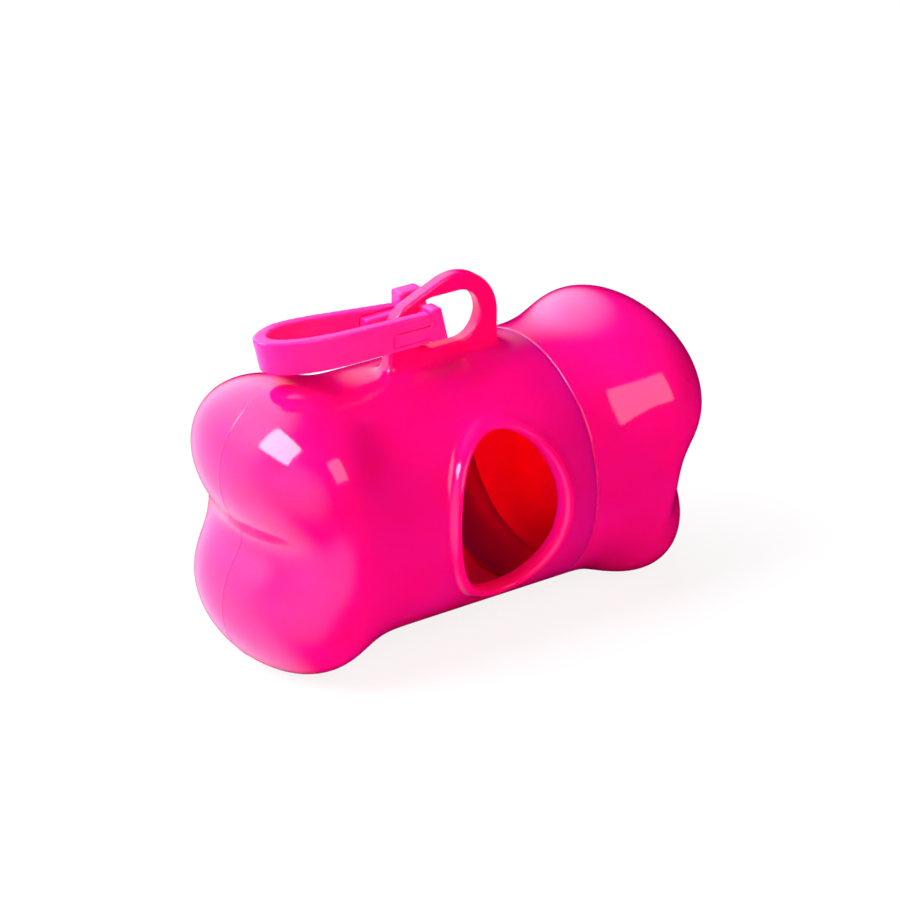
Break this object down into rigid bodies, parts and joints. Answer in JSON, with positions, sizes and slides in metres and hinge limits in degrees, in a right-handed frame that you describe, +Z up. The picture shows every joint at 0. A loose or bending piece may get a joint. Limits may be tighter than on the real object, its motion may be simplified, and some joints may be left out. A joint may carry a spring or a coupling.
{
  "type": "dog waste bag dispenser",
  "caption": "Bone-shaped hollow dispenser for a roll of dog waste bags, with an oval front opening, a pull-off lobed end cap and a swinging band clip through a lug on top.",
  "frame": {"origin": "on the surface that the bone stands on, midway along the bone and under its axis", "axes": "+X along the bone towards the end cap, -Y towards the front with the opening, +Z up through the lug"},
  "size_m": [0.082, 0.0417, 0.0549],
  "materials": {
    "shell": "glossy hot pink, self-coloured",
    "clip": "glossy hot pink, self-coloured"
  },
  "bodies": {
    "body": {"body": "shell"},
    "cap": {"end_cap": "shell"},
    "link": {"clip_link": "clip"},
    "bow": {"clip_bow": "clip"}
  },
  "joints": [
    {"name": "cap_pull", "type": "slide", "parent": "body", "child": "cap", "axis": [1, 0, 0], "range_m": [0, 0.012]},
    {"name": "clip_swing", "type": "hinge", "parent": "body", "child": "link", "pos_m": [-0.0051, 0, 0.0496], "axis": [0, 1, 0], "range_deg": [-5, 180]},
    {"name": "bow_pull", "type": "slide", "parent": "link", "child": "bow", "axis": [-1, 0, 0], "range_m": [0, 0.009]}
  ]
}
